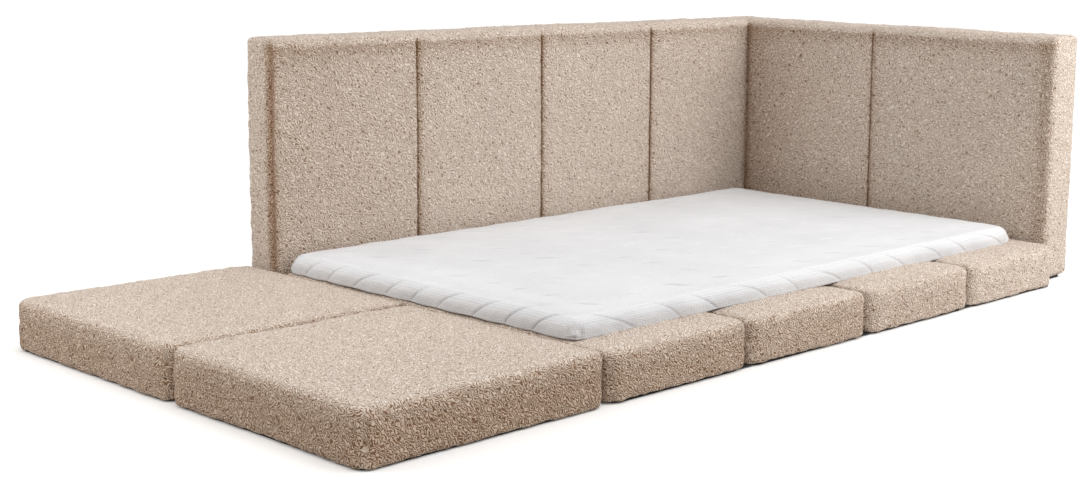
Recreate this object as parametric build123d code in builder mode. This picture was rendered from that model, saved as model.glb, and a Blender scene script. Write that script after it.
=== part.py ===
from build123d import *
import os
from math import cos, radians, sin, sqrt

os.makedirs("parts", exist_ok=True)

# Driving dimensions in millimetres. X runs along the long wall, Y towards it, Z up.
segment_count = 4
pad_height = 130.0
side_pad_length = 726.0
wall_height = 800.0
wall_thickness = 150.0
short_wall_setback = 60.0
mattress_length = 2000.0
mattress_width = 1200.0
mattress_height = 60.0
mattress_head_gap = 70.0
mattress_foot_gap = 10.0
mattress_front_gap = 128.0
mattress_wall_gap = 12.0

# Cloth, foam and the gaps between separate pieces.
underside_thickness = 6.0
underside_inset = 14.0
underside_corner = 30.0
cover_thickness = 8.0
cover_end_padding = 12.0
mattress_cover_thickness = 5.0
mattress_end_padding = 4.0
fit_gap = 0.3
segment_gap = 0.6
seat_gap = 0.3
hinge_gap = 4.0
side_pad_crown = 12.0
mattress_crown = 2.5
cut_overrun = 5.0

# Rounding of the pads and the mattress.
pad_top_round = 34.0
pad_low_round = 12.0
pad_end_round = 42.0
pad_side_bow = 4.0
mattress_top_round = 20.0
mattress_low_round = 8.0
mattress_end_round = 18.0
mattress_side_bow = 2.0
round_angles = (0, 45, 90)

# The walls: their edges, their sewn panels and what is inside.
wall_edge_round = 30.0
wall_foot_round = 8.0
panel_bow = 5.0
seam_depth = 9.0
seam_half_width = 8.0
seam_web_half_width = 11.0
wall_end_margin = 22.0
top_relief_share = 0.05
shoulder_relief_share = 0.5
board_thickness = 9.0
board_top_gap = 6.0

# Hook and loop closures.
patch_length = 120.0
patch_height = 40.0
patch_thickness = 2.0
corner_strip_width = 50.0
corner_strip_height = 560.0
corner_strip_centre_height = 380.0

# Zips and their sliders.
zip_tape_width = 24.0
zip_tape_thickness = 1.0
zip_coil_width = 6.0
zip_coil_height = 2.2
zip_slot_width = 26.0
zip_slot_depth = 6.0
mattress_zip_slot_depth = 3.5
zip_end_margin = 70.0
wall_zip_height = 60.0
slider_length = 13.0
slider_wall = 1.8
slider_plate = 1.4
slider_running_gap = 0.3
pull_length = 24.0
pull_width = 7.0
pull_thickness = 1.0

# Hinge strips under the base and hinge tapes beside the side pads.
hinge_strip_thickness = 3.0
hinge_underside_inset = 24.0
hinge_tape_height = 48.0
hinge_tape_end_gap = 60.0

# Places worked out from the sizes above.
wall_gap = 2 * patch_thickness
bed_length = mattress_foot_gap + mattress_length + mattress_head_gap
segment_length = bed_length / segment_count
base_depth = mattress_front_gap + mattress_width + mattress_wall_gap - wall_gap
overall_length = side_pad_length + hinge_gap + bed_length + wall_gap + wall_thickness
overall_depth = base_depth + wall_gap + wall_thickness
base_left = -overall_length / 2 + side_pad_length + hinge_gap
base_right = base_left + bed_length
base_front = -overall_depth / 2
base_back = base_front + base_depth
corner_x = base_right + wall_gap
corner_y = base_back + wall_gap
long_wall_length = corner_x - base_left
short_wall_length = corner_y - base_front - short_wall_setback
side_pad_width = (overall_depth - segment_gap) / 2
pad_side_middle = (underside_thickness + pad_low_round + pad_height - pad_top_round) / 2
mattress_low = pad_height + seat_gap
mattress_left = base_left + mattress_foot_gap
mattress_right = mattress_left + mattress_length
mattress_back = corner_y - mattress_wall_gap
mattress_centre_y = mattress_back - mattress_width / 2
long_wall_seams = [wall_gap + index * segment_length for index in range(1, segment_count)]
short_wall_seams = [(short_wall_length + wall_thickness) / 2 - wall_thickness]


def cushion_section(plane, width, low, high, top_round, low_round, bow, crown):
    """One upright slice of a pad: flat below, bowed sides, rounded shoulders and a crown where it has one."""
    half = width / 2
    side_middle = (low + low_round + high - top_round) / 2
    with BuildSketch(plane) as outline:
        with BuildLine():
            Line((-half + low_round, low), (half - low_round, low))
            TangentArc((half - low_round, low), (half - bow, low + low_round), tangent=(1, 0))
            ThreePointArc((half - bow, low + low_round), (half, side_middle), (half - bow, high - top_round))
            TangentArc((half - top_round, high), (half - bow, high - top_round), tangent=(1, 0))
            if crown > 0:
                ThreePointArc((half - top_round, high), (0, high + crown), (-half + top_round, high))
            else:
                Line((half - top_round, high), (-half + top_round, high))
            TangentArc((-half + top_round, high), (-half + bow, high - top_round), tangent=(-1, 0))
            ThreePointArc((-half + bow, high - top_round), (-half, side_middle), (-half + bow, low + low_round))
            TangentArc((-half + low_round, low), (-half + bow, low + low_round), tangent=(-1, 0))
        make_face()
    return outline.sketch


def cushion(start, width, length, low, high, top_round, low_round, end_round, bow, crown):
    """A pad lofted from rounded end to rounded end. The start plane faces out of the pad's first end."""

    def place(along):
        return start.offset(-along)

    def end_slice(angle, from_far_end):
        along = end_round * (1 - cos(radians(angle)))
        inset = end_round * (1 - sin(radians(angle)))
        lift = low_round * (1 - sin(radians(angle)))
        plane = place(length - along if from_far_end else along)
        rise = 4 * crown * along * (length - along) / length**2 + min(crown, fit_gap)
        return cushion_section(
            plane, width - 2 * inset, low + lift, high - inset, top_round, low_round, bow, rise
        )

    near_end = [end_slice(angle, False) for angle in round_angles]
    far_end = [end_slice(angle, True) for angle in round_angles]
    middle = cushion_section(place(length / 2), width, low, high, top_round, low_round, bow, crown)
    loft(near_end)
    loft([near_end[-1], middle, far_end[-1]])
    loft(far_end)


def rounded_block(plane, width, length, height, corner_round, top_round):
    """A block with rounded upright edges and a rounded top."""
    with BuildSketch(plane) as outline:
        RectangleRounded(width, length, corner_round)
    extrude(outline.sketch, amount=height)
    fillet(edges().group_by(Axis.Z)[-1], top_round)


def fabric_pad(centre_x, front, width, length, crown):
    """The outside of a base or side pad, lofted from front to back."""
    cushion(
        Plane((centre_x, front, 0), x_dir=(1, 0, 0), z_dir=(0, -1, 0)),
        width,
        length,
        underside_thickness,
        pad_height,
        pad_top_round,
        pad_low_round,
        pad_end_round,
        pad_side_bow,
        crown,
    )


def pad_filling(centre_x, front, width, length, trim):
    """The space inside a pad's cover, or with a trim the foam that fills it."""
    inset = cover_thickness + trim
    low = underside_thickness + inset
    rounded_block(
        Plane((centre_x, front + length / 2, low)),
        width - 2 * (pad_side_bow + inset),
        length - 2 * (cover_end_padding + inset),
        pad_height - inset - low,
        pad_end_round,
        pad_top_round,
    )


def grip_sheet(centre_x, centre_y, width, length):
    """The grip sheet that a pad lies on."""
    with BuildSketch(Plane((centre_x, centre_y, 0))) as outline:
        RectangleRounded(width, length, underside_corner)
    extrude(outline.sketch, amount=underside_thickness)


def wall_outline(plane, length, seams, inset, relief_share):
    """A level slice of a wall. Locally X runs along the inner face from the corner, Y into the wall.

    The corner end is a mitre, so that the two walls' edges meet. The relief share fades the panels' bow and
    the sewn seams towards the top edge."""
    bow = panel_bow * relief_share
    depth = seam_depth * relief_share
    diagonal = cos(radians(45))
    face = inset + bow
    end = length - inset
    back = wall_thickness - inset
    starts = [-face] + [seam + seam_half_width for seam in seams]
    stops = [seam - seam_half_width for seam in seams] + [end - wall_edge_round]
    with BuildSketch(plane) as outline:
        with BuildLine():
            for start, stop in zip(starts, stops):
                ThreePointArc((start, face), ((start + stop) / 2, inset), (stop, face))
            for seam in seams:
                Line((seam - seam_half_width, face), (seam, face + depth))
                Line((seam, face + depth), (seam + seam_half_width, face))
            round_x = end - wall_edge_round
            ThreePointArc(
                (round_x, face),
                (round_x + wall_edge_round * diagonal, inset + wall_edge_round * (1 - diagonal)),
                (end, inset + wall_edge_round),
            )
            Line((end, inset + wall_edge_round), (end, back - wall_edge_round))
            ThreePointArc(
                (end, back - wall_edge_round),
                (round_x + wall_edge_round * diagonal, back - wall_edge_round * (1 - diagonal)),
                (round_x, back),
            )
            mitre_round_x = -back + wall_edge_round
            mitre_corner = back - wall_edge_round * (1 - diagonal)
            Line((round_x, back), (mitre_round_x, back))
            ThreePointArc(
                (mitre_round_x, back),
                (
                    mitre_round_x - wall_edge_round * sin(radians(22.5)),
                    back - wall_edge_round * (1 - cos(radians(22.5))),
                ),
                (-mitre_corner, mitre_corner),
            )
            Line((-mitre_corner, mitre_corner), (-face, face))
        make_face()
    return outline.sketch


def wall_body(plane_at, length, seams):
    """A wall lofted from its foot to its rounded top edge."""
    foot = wall_outline(plane_at(underside_thickness), length, seams, wall_foot_round, 1)
    foot_top = wall_outline(plane_at(underside_thickness + wall_foot_round), length, seams, 0, 1)
    loft([foot, foot_top])
    shoulder = wall_outline(plane_at(wall_height - wall_edge_round), length, seams, 0, 1)
    loft([foot_top, shoulder])
    half_way = wall_edge_round * sin(radians(45))
    slope = wall_outline(
        plane_at(wall_height - wall_edge_round + half_way),
        length,
        seams,
        wall_edge_round - half_way,
        shoulder_relief_share,
    )
    top = wall_outline(plane_at(wall_height), length, seams, wall_edge_round, top_relief_share)
    loft([shoulder, slope, top])


def panel_ends(length, seams, index):
    """Where one panel's space starts and stops along the inner face. The first starts at the mitre."""
    start = None if index == 0 else seams[index - 1] + seam_web_half_width
    stop = length - wall_end_margin if index == len(seams) else seams[index] - seam_web_half_width
    return start, stop


def panel_start(start, depth, trim):
    """Where a panel's filling starts at one depth: past a seam, or along the mitre for the corner panel."""
    if start is None:
        return cover_thickness * sqrt(2) + trim - depth
    return start + trim


def panel_outline(plane, start, stop, front, back, trim):
    """A level slice of the space or the foam of one panel."""
    face = front + panel_bow
    near = panel_start(start, face, trim)
    near_back = panel_start(start, back, trim)
    far = stop - trim
    with BuildSketch(plane) as outline:
        with BuildLine():
            ThreePointArc((near, face), ((near + far) / 2, front), (far, face))
            Line((far, face), (far, back))
            Line((far, back), (near_back, back))
            Line((near_back, back), (near, face))
        make_face()
    return outline.sketch


def panel_block(plane_at, start, stop, back_trim, trim, mode=Mode.ADD):
    """The space for one panel's filling inside the cover, or with a trim the foam that fills it."""
    inset = cover_thickness + trim
    inner_round = wall_edge_round - inset
    shoulder = wall_height - wall_edge_round
    slope_rise = inner_round * sin(radians(45))

    def slice_at(height, edge):
        front = inset + edge
        back = wall_thickness - front - back_trim
        return panel_outline(plane_at(height), start, stop, front, back, trim)

    low = slice_at(underside_thickness + cover_thickness + trim, 0)
    high = slice_at(shoulder, 0)
    slope = slice_at(shoulder + slope_rise, inner_round - slope_rise)
    top = slice_at(shoulder + inner_round, inner_round)
    loft([low, high], mode=mode)
    loft([high, slope, top], mode=mode)


def wall_cover(plane_at, length, seams, zip_back, zip_length, mitre):
    """A wall's cover: one space for each panel, a slot for the zip and a pocket for the corner's strip."""
    wall_body(plane_at, length, seams)
    for index in range(len(seams) + 1):
        start, stop = panel_ends(length, seams, index)
        panel_block(plane_at, start, stop, 0, 0, Mode.SUBTRACT)
    cut(zip_back, zip_length, zip_slot_width - 2 * fit_gap, zip_slot_depth)
    cut(mitre, corner_strip_width, corner_strip_height, patch_thickness)


def cut(face, length, width, depth):
    """Sink a space for a flat piece into a face, with the fitting gap around the piece."""
    with BuildSketch(face.offset(cut_overrun)) as outline:
        Rectangle(length + 2 * fit_gap, width + 2 * fit_gap)
    extrude(outline.sketch, amount=-depth - cut_overrun, mode=Mode.SUBTRACT)


def panel_board(plane_at, start, stop):
    """The board between one panel's foam and the cover's back."""
    back = wall_thickness - cover_thickness - fit_gap
    front = back - board_thickness
    near = panel_start(start, front, fit_gap)
    far = stop - fit_gap
    low = underside_thickness + cover_thickness + fit_gap
    high = wall_height - wall_edge_round - board_top_gap
    with BuildSketch(plane_at(low)) as outline:
        with Locations(((near + far) / 2, (front + back) / 2)):
            Rectangle(far - near, board_thickness)
    extrude(outline.sketch, amount=high - low, dir=(0, 0, 1))


def flat_strip(face, length, width, thickness):
    """A flat strip that stands on a face."""
    with BuildSketch(face) as outline:
        Rectangle(length, width)
    extrude(outline.sketch, amount=thickness)


def closed_zip(floor, length):
    """A zip on the floor of its slot: the tape and the closed coil along its middle."""
    flat_strip(floor, length, zip_tape_width, zip_tape_thickness)
    flat_strip(floor.offset(zip_tape_thickness), length, zip_coil_width, zip_coil_height)


def zip_slider(floor, along):
    """A slider on a zip: two cheeks beside the coil, the plate over it and the pull lying on the plate."""
    cheek_middle = zip_coil_width / 2 + slider_running_gap + slider_wall / 2
    cheek_low = zip_tape_thickness + slider_running_gap
    with BuildSketch(floor.offset(cheek_low)) as cheeks:
        with Locations((along, cheek_middle), (along, -cheek_middle)):
            Rectangle(slider_length, slider_wall)
    extrude(cheeks.sketch, amount=zip_coil_height)
    with BuildSketch(floor.offset(cheek_low + zip_coil_height)) as plate:
        with Locations((along, 0)):
            Rectangle(slider_length, 2 * cheek_middle + slider_wall)
    extrude(plate.sketch, amount=slider_plate)
    with BuildSketch(floor.offset(cheek_low + zip_coil_height + slider_plate)) as pull:
        with Locations((along + (slider_length - pull_length) / 2, 0)):
            SlotOverall(pull_length, pull_width)
    extrude(pull.sketch, amount=pull_thickness)


def panel_middles(length, seams):
    """The middle of each bowed panel along a wall's inner face."""
    starts = [-panel_bow] + [seam + seam_half_width for seam in seams]
    stops = [seam - seam_half_width for seam in seams] + [length - wall_edge_round]
    return [(start + stop) / 2 for start, stop in zip(starts, stops)]


def save(piece, name):
    """Label a finished piece and write it to its own file."""
    piece.part.label = name
    export_step(piece.part, f"parts/{name}.step")


# The base: four pads side by side, each a cover on its foam and a grip sheet below it.
base_centre_y = base_front + base_depth / 2
for index in range(segment_count):
    centre_x = base_left + (index + 1 / 2) * segment_length
    width = segment_length - segment_gap
    with BuildPart() as base_space:
        pad_filling(centre_x, base_front, width, base_depth, 0)

    with BuildPart() as base_cover:
        fabric_pad(centre_x, base_front, width, base_depth, 0)
        add(base_space.part, mode=Mode.SUBTRACT)
    save(base_cover, f"base_cover_{index + 1}")

    with BuildPart() as base_foam:
        pad_filling(centre_x, base_front, width, base_depth, fit_gap)
    save(base_foam, f"base_foam_{index + 1}")

    with BuildPart() as base_underside:
        sheet_width = width - 2 * hinge_underside_inset
        grip_sheet(centre_x, base_centre_y, sheet_width, base_depth - 2 * underside_inset)
    save(base_underside, f"base_underside_{index + 1}")

# Hinge strips join the grip sheets of neighbouring pads.
for index in range(1, segment_count):
    with BuildPart() as base_hinge:
        strip_low = underside_thickness - hinge_strip_thickness
        strip_plane = Plane((base_left + index * segment_length, base_centre_y, strip_low))
        strip_width = 2 * hinge_underside_inset + segment_gap - 2 * fit_gap
        flat_strip(strip_plane, strip_width, base_depth - 2 * underside_inset, hinge_strip_thickness)
    save(base_hinge, f"base_hinge_{index}")

# The two side pads and the tapes that hold them to the base.
side_pad_x = base_left - hinge_gap - side_pad_length / 2
for side, front in (("near", base_front), ("far", segment_gap / 2)):
    with BuildPart() as side_space:
        pad_filling(side_pad_x, front, side_pad_length, side_pad_width, 0)

    with BuildPart() as side_cover:
        fabric_pad(side_pad_x, front, side_pad_length, side_pad_width, side_pad_crown)
        add(side_space.part, mode=Mode.SUBTRACT)
    save(side_cover, f"side_pad_{side}_cover")

    with BuildPart() as side_foam:
        pad_filling(side_pad_x, front, side_pad_length, side_pad_width, fit_gap)
    save(side_foam, f"side_pad_{side}_foam")

    with BuildPart() as side_underside:
        grip_sheet(
            side_pad_x,
            front + side_pad_width / 2,
            side_pad_length - 2 * underside_inset,
            side_pad_width - 2 * underside_inset,
        )
    save(side_underside, f"side_pad_{side}_underside")

    with BuildPart() as side_tape:
        tape_front = front + hinge_tape_end_gap
        tape_back = min(front + side_pad_width, base_back) - hinge_tape_end_gap
        tape_plane = Plane(
            (base_left - hinge_gap + fit_gap, (tape_front + tape_back) / 2, pad_side_middle),
            x_dir=(0, 1, 0),
            z_dir=(1, 0, 0),
        )
        flat_strip(tape_plane, tape_back - tape_front, hinge_tape_height, hinge_gap - 2 * fit_gap)
    save(side_tape, f"side_pad_{side}_hinge_tape")


def mattress_filling(trim):
    """The space inside the mattress's cover, or with a trim the core that fills it."""
    inset = mattress_cover_thickness + trim
    rounded_block(
        Plane((mattress_left + mattress_length / 2, mattress_centre_y, mattress_low + inset)),
        mattress_length - 2 * (mattress_end_padding + inset),
        mattress_width - 2 * (mattress_side_bow + inset),
        mattress_height - mattress_crown - 2 * inset,
        mattress_top_round,
        mattress_end_round,
    )


# The mattress, with its zip along the end beside the short wall.
mattress_zip_length = mattress_width - 2 * zip_end_margin
mattress_end = Plane(
    (mattress_right, mattress_centre_y, mattress_low + (mattress_height - mattress_crown) / 2),
    x_dir=(0, 1, 0),
    z_dir=(1, 0, 0),
)
mattress_zip_floor = mattress_end.offset(-mattress_zip_slot_depth)
with BuildPart() as mattress_space:
    mattress_filling(0)

with BuildPart() as mattress_cover:
    cushion(
        Plane((mattress_left, mattress_centre_y, 0), x_dir=(0, -1, 0), z_dir=(-1, 0, 0)),
        mattress_width,
        mattress_length,
        mattress_low,
        mattress_low + mattress_height - mattress_crown,
        mattress_top_round,
        mattress_low_round,
        mattress_end_round,
        mattress_side_bow,
        mattress_crown,
    )
    add(mattress_space.part, mode=Mode.SUBTRACT)
    cut(mattress_end, mattress_zip_length, zip_tape_width, mattress_zip_slot_depth)
save(mattress_cover, "mattress_cover")

with BuildPart() as mattress_core:
    mattress_filling(fit_gap)
save(mattress_core, "mattress_core")

with BuildPart() as mattress_zip:
    closed_zip(mattress_zip_floor, mattress_zip_length)
save(mattress_zip, "mattress_zip")

with BuildPart() as mattress_zip_slider:
    zip_slider(mattress_zip_floor, (mattress_zip_length - slider_length) / 2)
save(mattress_zip_slider, "mattress_zip_slider")


def long_wall_plane(height):
    """A level plane with X along the long wall from the inner corner and Y into it."""
    return Plane((corner_x, corner_y, height), x_dir=(-1, 0, 0), z_dir=(0, 0, -1))


def short_wall_plane(height):
    """A level plane with X along the short wall from the inner corner and Y into it."""
    return Plane((corner_x, corner_y, height), x_dir=(0, -1, 0), z_dir=(0, 0, 1))


# Where the walls' zips lie on their backs, and the mitre where the two walls meet.
long_wall_back = Plane(
    (corner_x - long_wall_length / 2, corner_y + wall_thickness, wall_zip_height),
    x_dir=(-1, 0, 0),
    z_dir=(0, 1, 0),
)
short_wall_back = Plane(
    (corner_x + wall_thickness, corner_y - short_wall_length / 2, wall_zip_height),
    x_dir=(0, -1, 0),
    z_dir=(1, 0, 0),
)
mitre_middle = (
    corner_x + wall_thickness / 2,
    corner_y + wall_thickness / 2,
    corner_strip_centre_height,
)
long_wall_mitre = Plane(mitre_middle, x_dir=(1, 1, 0), z_dir=(1, -1, 0))
short_wall_mitre = Plane(mitre_middle, x_dir=(-1, -1, 0), z_dir=(-1, 1, 0))
walls = (
    ("long_wall", long_wall_plane, long_wall_length, long_wall_seams, long_wall_back, long_wall_mitre),
    ("short_wall", short_wall_plane, short_wall_length, short_wall_seams, short_wall_back, short_wall_mitre),
)
for wall, plane_at, length, seams, back, mitre in walls:
    zip_length = length - 2 * zip_end_margin
    with BuildPart() as cover:
        wall_cover(plane_at, length, seams, back, zip_length, mitre)
    save(cover, f"{wall}_cover")

    for index in range(len(seams) + 1):
        start, stop = panel_ends(length, seams, index)
        with BuildPart() as foam:
            panel_block(plane_at, start, stop, board_thickness, fit_gap)
        save(foam, f"{wall}_foam_{index + 1}")

        with BuildPart() as board:
            panel_board(plane_at, start, stop)
        save(board, f"{wall}_board_{index + 1}")

    with BuildPart() as underside:
        sheet = wall_outline(plane_at(0), length, seams, underside_inset, 1)
        extrude(sheet, amount=underside_thickness, dir=(0, 0, 1))
    save(underside, f"{wall}_underside")

    zip_floor = back.offset(-zip_slot_depth)
    with BuildPart() as wall_zip:
        closed_zip(zip_floor, zip_length)
    save(wall_zip, f"{wall}_zip")

    with BuildPart() as wall_slider:
        zip_slider(zip_floor, (zip_length - slider_length) / 2)
    save(wall_slider, f"{wall}_zip_slider")

# The hook strip and the loop strip that hold the walls together at the corner.
with BuildPart() as corner_hook_strip:
    flat_strip(long_wall_mitre, corner_strip_width, corner_strip_height, -patch_thickness)
save(corner_hook_strip, "corner_hook_strip")

with BuildPart() as corner_loop_strip:
    flat_strip(short_wall_mitre, corner_strip_width, corner_strip_height, -patch_thickness)
save(corner_loop_strip, "corner_loop_strip")

# Hook patches on the walls' inner faces meet loop patches on the base, at the middle of each panel.
patch_faces = [
    Plane((corner_x - along, corner_y, pad_side_middle), x_dir=(1, 0, 0), z_dir=(0, -1, 0))
    for along in panel_middles(long_wall_length, long_wall_seams)
] + [
    Plane((corner_x, corner_y - along, pad_side_middle), x_dir=(0, -1, 0), z_dir=(-1, 0, 0))
    for along in panel_middles(short_wall_length, short_wall_seams)
]
with BuildPart() as wall_hook_patches:
    for face in patch_faces:
        flat_strip(face, patch_length, patch_height, patch_thickness)
save(wall_hook_patches, "wall_hook_patches")

with BuildPart() as base_loop_patches:
    for face in patch_faces:
        flat_strip(face.offset(patch_thickness), patch_length, patch_height, patch_thickness)
save(base_loop_patches, "base_loop_patches")
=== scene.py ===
import math

import bmesh
import bpy
import numpy as np
from mathutils import Matrix, Vector, noise
from mathutils.bvhtree import BVHTree


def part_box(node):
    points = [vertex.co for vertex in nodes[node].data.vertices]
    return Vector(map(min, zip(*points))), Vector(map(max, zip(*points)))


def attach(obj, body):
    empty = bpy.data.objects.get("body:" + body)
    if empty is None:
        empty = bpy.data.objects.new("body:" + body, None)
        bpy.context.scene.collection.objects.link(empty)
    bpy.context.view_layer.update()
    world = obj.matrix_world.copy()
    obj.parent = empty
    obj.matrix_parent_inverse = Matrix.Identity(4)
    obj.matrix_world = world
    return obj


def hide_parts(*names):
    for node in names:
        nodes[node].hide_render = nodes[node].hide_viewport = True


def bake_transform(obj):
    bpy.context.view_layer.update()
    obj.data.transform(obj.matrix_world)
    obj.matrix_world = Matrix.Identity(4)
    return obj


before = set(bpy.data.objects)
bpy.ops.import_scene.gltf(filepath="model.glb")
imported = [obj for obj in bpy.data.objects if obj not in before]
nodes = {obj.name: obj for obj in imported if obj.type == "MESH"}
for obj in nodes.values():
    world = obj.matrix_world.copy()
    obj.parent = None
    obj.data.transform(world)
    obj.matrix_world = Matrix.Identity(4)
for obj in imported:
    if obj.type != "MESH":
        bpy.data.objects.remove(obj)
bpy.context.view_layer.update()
scene = bpy.context.scene

# The room: a plain white studio floor that keeps the bed's soft shadow, a pale sky all round, one broad lamp
# from high in front and two soft panels, right and left. The camera stands low, off the open left corner.
PHOTO_WIDTH, PHOTO_HEIGHT = 1087, 496
FOCAL_PIXELS = 1721.5
SIGHT_X, SIGHT_Y = 660.2, 202.5
CAMERA_PLACE = (-3.583, -3.504, 1.115)
CAMERA_TURN, CAMERA_DIP, CAMERA_LEAN = -47.34, 8.95, 0.84
camera_data = bpy.data.cameras.new("camera")
camera = bpy.data.objects.new("camera", camera_data)
scene.collection.objects.link(camera)
camera_data.lens = FOCAL_PIXELS / PHOTO_WIDTH * camera_data.sensor_width
camera_data.shift_x = (PHOTO_WIDTH / 2 - SIGHT_X) / PHOTO_WIDTH
camera_data.shift_y = (SIGHT_Y - PHOTO_HEIGHT / 2) / PHOTO_WIDTH
camera.matrix_world = (
    Matrix.Translation(CAMERA_PLACE)
    @ Matrix.Rotation(math.radians(CAMERA_TURN), 4, "Z")
    @ Matrix.Rotation(math.radians(90 - CAMERA_DIP), 4, "X")
    @ Matrix.Rotation(math.radians(CAMERA_LEAN), 4, "Z")
)
scene.camera = camera
scene.view_settings.view_transform = "Standard"

world = bpy.data.worlds.new("studio")
scene.world = world
world.use_nodes = True
sky = world.node_tree.nodes
sky.clear()
sky_out = sky.new("ShaderNodeOutputWorld")
sky_glow = sky.new("ShaderNodeBackground")
sky_glow.inputs["Color"].default_value = (1.0, 0.985, 0.965, 1)
sky_facing = sky.new("ShaderNodeTexCoord")
sky_height = sky.new("ShaderNodeSeparateXYZ")
sky_strength = sky.new("ShaderNodeMapRange")
for socket, value in (("From Min", -0.1), ("From Max", 1.0), ("To Min", 0.40), ("To Max", 0.95)):
    sky_strength.inputs[socket].default_value = value
sky_white = sky.new("ShaderNodeBackground")
sky_white.inputs["Color"].default_value = (1, 1, 1, 1)
sky_white.inputs["Strength"].default_value = 1.0
sky_path = sky.new("ShaderNodeLightPath")
seen_or_shiny = sky.new("ShaderNodeMath")
seen_or_shiny.operation = "MAXIMUM"
seen_at_all = sky.new("ShaderNodeMath")
seen_at_all.operation = "MAXIMUM"
sky_mix = sky.new("ShaderNodeMixShader")
for start, end in (
    (sky_facing.outputs["Generated"], sky_height.inputs[0]),
    (sky_height.outputs["Z"], sky_strength.inputs["Value"]),
    (sky_strength.outputs["Result"], sky_glow.inputs["Strength"]),
    (sky_path.outputs["Is Camera Ray"], seen_or_shiny.inputs[0]),
    (sky_path.outputs["Is Glossy Ray"], seen_or_shiny.inputs[1]),
    (seen_or_shiny.outputs[0], seen_at_all.inputs[0]),
    (sky_path.outputs["Is Transmission Ray"], seen_at_all.inputs[1]),
    (seen_at_all.outputs[0], sky_mix.inputs["Fac"]),
    (sky_glow.outputs[0], sky_mix.inputs[1]),
    (sky_white.outputs[0], sky_mix.inputs[2]),
    (sky_mix.outputs[0], sky_out.inputs["Surface"]),
):
    world.node_tree.links.new(start, end)


def add_lamp(name, kind, place, aim, energy, colour):
    """A lamp at a place that faces a point of the bed."""
    data = bpy.data.lights.new(name, kind)
    data.energy = energy
    data.color = colour
    lamp = bpy.data.objects.new(name, data)
    lamp.location = place
    lamp.rotation_euler = (lamp.location - Vector(aim)).to_track_quat("Z", "Y").to_euler()
    scene.collection.objects.link(lamp)
    return data


def add_panel(name, place, aim, size, watts, colour):
    """A round soft lamp."""
    data = add_lamp(name, "AREA", place, aim, watts, colour)
    data.shape = "DISK"
    data.size = size


# The key lamp is as far away as the sun, so it lights the floor evenly. It is spread wide for soft shadows.
KEY_SPREAD_DEGREES = 44
key = add_lamp("key_lamp", "SUN", (0.12, -0.40, 1.0), (0, 0, 0), 0.86, (0.985, 0.99, 1.0))
key.angle = math.radians(KEY_SPREAD_DEGREES)
add_panel("right_panel", (2.0, -2.6, 1.6), (1.0, -0.4, 0.3), 1.8, 42.0, (1.0, 0.99, 0.975))
add_panel("left_panel", (-3.0, 0.9, 1.5), (-0.8, 0.5, 0.4), 1.2, 16.0, (1.0, 0.985, 0.96))

floor_mesh = bpy.data.meshes.new("floor")
FLOOR_REACH, FLOOR_LEVEL = 70.0, -0.0005
floor_sides = ((-1, -1), (1, -1), (1, 1), (-1, 1))
floor_corners = [(x * FLOOR_REACH, y * FLOOR_REACH, FLOOR_LEVEL) for x, y in floor_sides]
floor_mesh.from_pydata(floor_corners, [], [(0, 1, 2, 3)])
floor = bpy.data.objects.new("floor", floor_mesh)
scene.collection.objects.link(floor)
floor_paint = bpy.data.materials.new("studio_floor")
floor_paint.use_nodes = True
floor_nodes = floor_paint.node_tree.nodes
floor_nodes.clear()
floor_out = floor_nodes.new("ShaderNodeOutputMaterial")
floor_seen = floor_nodes.new("ShaderNodeBsdfDiffuse")
floor_seen.inputs["Color"].default_value = (0.97, 0.97, 0.97, 1)
floor_lift = floor_nodes.new("ShaderNodeEmission")
floor_lift.inputs["Color"].default_value = (1, 1, 1, 1)
floor_lift.inputs["Strength"].default_value = 0.045
floor_sum = floor_nodes.new("ShaderNodeAddShader")
floor_bounce = floor_nodes.new("ShaderNodeBsdfDiffuse")
floor_bounce.inputs["Color"].default_value = (0.66, 0.65, 0.64, 1)
floor_path = floor_nodes.new("ShaderNodeLightPath")
floor_mix = floor_nodes.new("ShaderNodeMixShader")
for start, end in (
    (floor_seen.outputs[0], floor_sum.inputs[0]),
    (floor_lift.outputs[0], floor_sum.inputs[1]),
    (floor_path.outputs["Is Camera Ray"], floor_mix.inputs["Fac"]),
    (floor_bounce.outputs[0], floor_mix.inputs[1]),
    (floor_sum.outputs[0], floor_mix.inputs[2]),
    (floor_mix.outputs[0], floor_out.inputs["Surface"]),
):
    floor_paint.node_tree.links.new(start, end)
floor_mesh.materials.append(floor_paint)


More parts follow.
